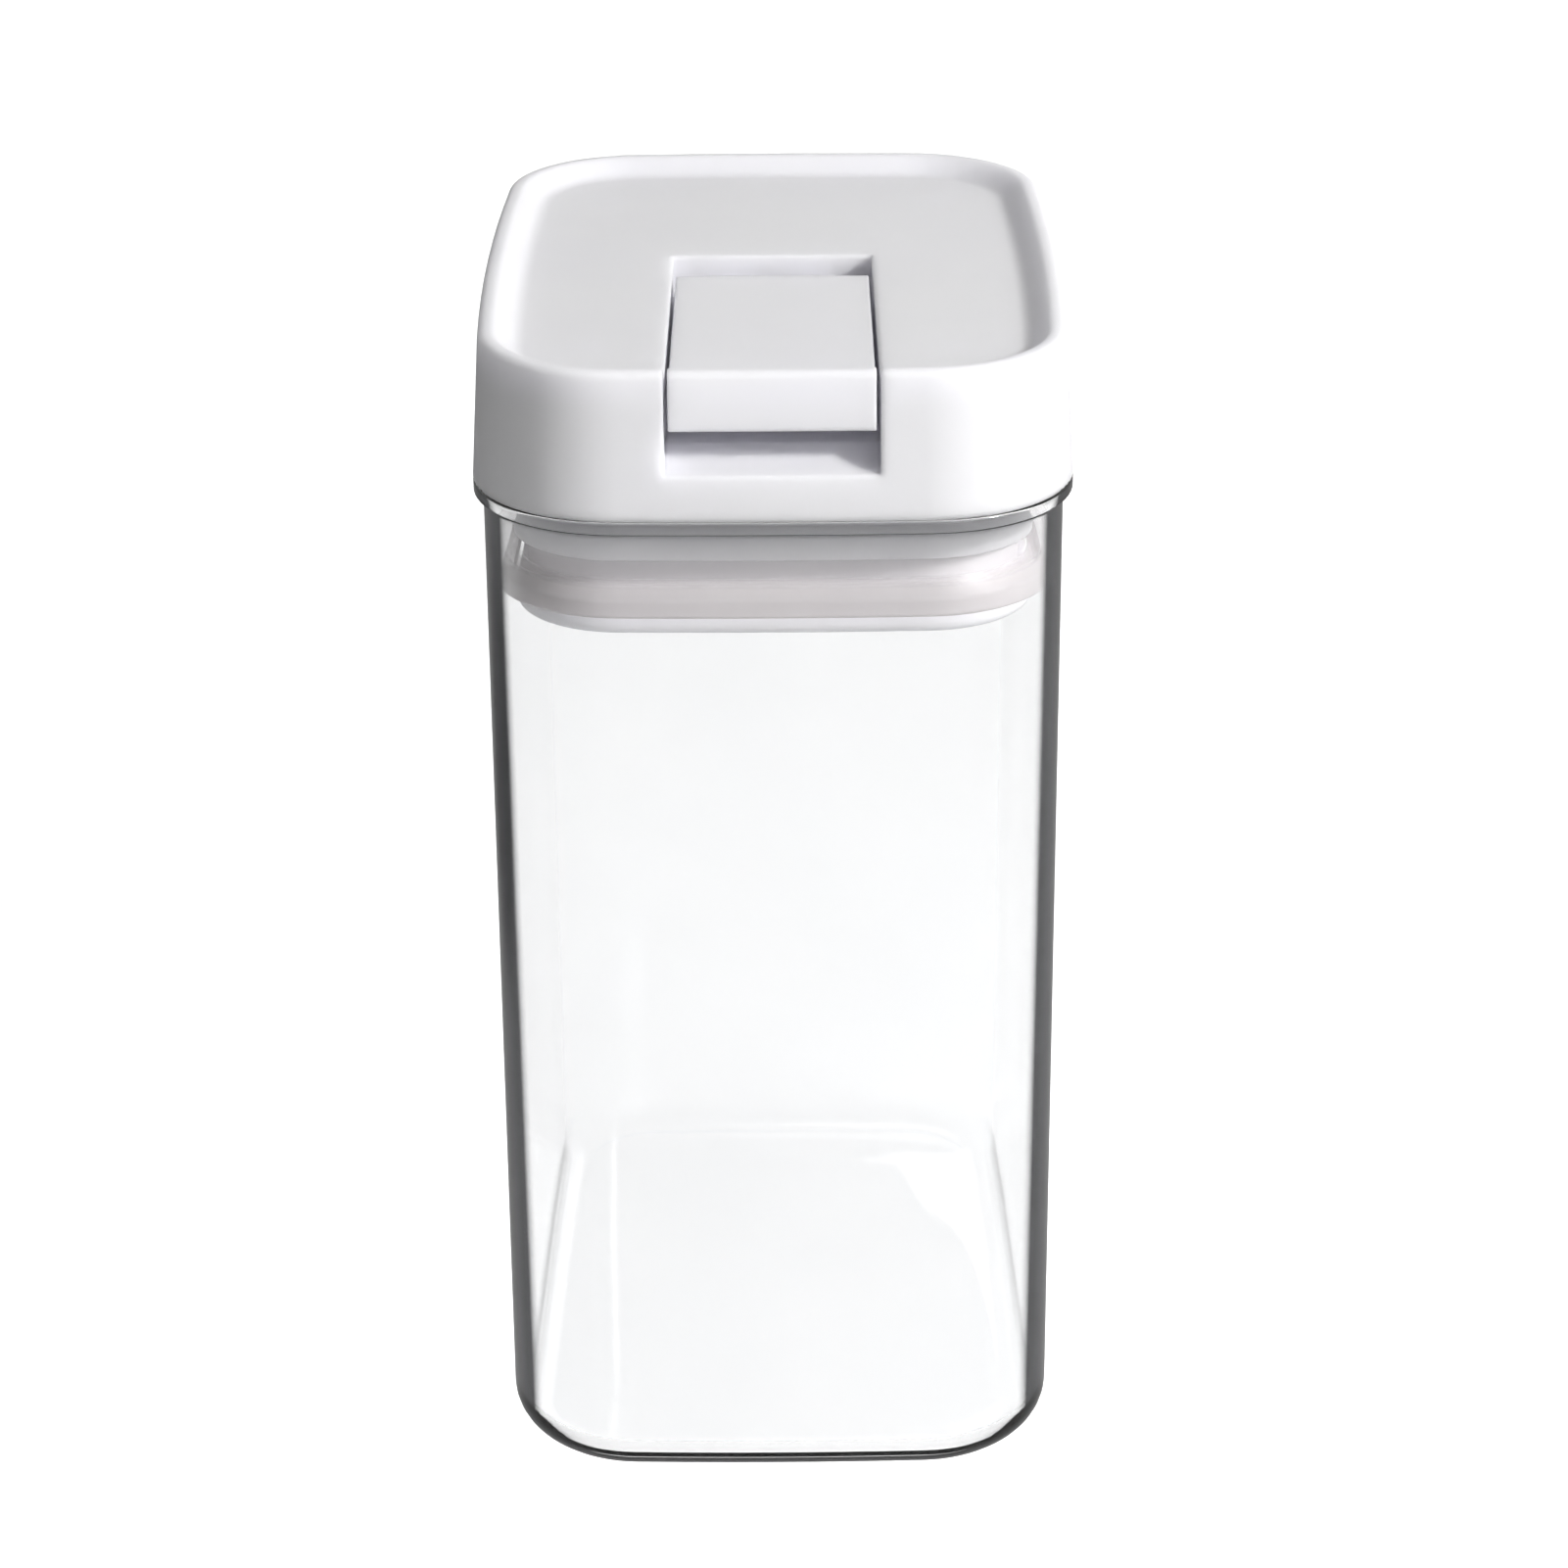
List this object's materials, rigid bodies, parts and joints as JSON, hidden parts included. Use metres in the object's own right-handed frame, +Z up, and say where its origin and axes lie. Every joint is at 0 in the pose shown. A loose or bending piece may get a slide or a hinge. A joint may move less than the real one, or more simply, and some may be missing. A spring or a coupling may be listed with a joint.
{
  "type": "food storage container",
  "caption": "Upright clear plastic food keeper, rounded rectangle in plan, with a white lid whose flip lever squeezes a silicone gasket against the wall.",
  "frame": {"origin": "middle of the base on the surface that the keeper stands on", "axes": "+Z up; the lever's tip is at the front on -Y; +X to the right seen from the front"},
  "size_m": [0.102, 0.137, 0.206],
  "materials": {
    "clear_plastic": "clear, polished moulding",
    "white_plastic": "white, fine satin moulding",
    "milky_silicone": "milky translucent silicone",
    "grey_nylon": "natural grey, smooth",
    "steel": "plain stainless steel"
  },
  "bodies": {
    "canister": {"canister": "clear_plastic"},
    "lid": {"lid_cap": "white_plastic", "inner_lid": "white_plastic", "gasket": "milky_silicone", "rod_ring": "milky_silicone", "cam_wear_plate": "steel", "lid_screws": "steel"},
    "plunger": {"pull_rod": "grey_nylon", "seal_plate": "white_plastic", "rod_washer": "steel", "rod_screw": "steel", "screw_cover": "white_plastic"},
    "lever": {"flip_lever": "white_plastic", "lever_pin": "steel"}
  },
  "joints": [
    {"name": "lid_lift", "type": "slide", "parent": "canister", "child": "lid", "axis": [0, 0, 1], "range_m": [0, 0.08]},
    {"name": "seal_drop", "type": "slide", "parent": "lid", "child": "plunger", "axis": [0, 0, -1], "range_m": [0, 0.003], "deforming": ["gasket"]},
    {"name": "lever_flip", "type": "hinge", "parent": "plunger", "child": "lever", "pos_m": [0, 0, 0.1954], "axis": [-1, 0, 0], "range_deg": [0, 90]}
  ],
  "couplings": [
    {"joint": "seal_drop", "follows": "lever_flip", "m_per_rad": 0.0019098}
  ]
}
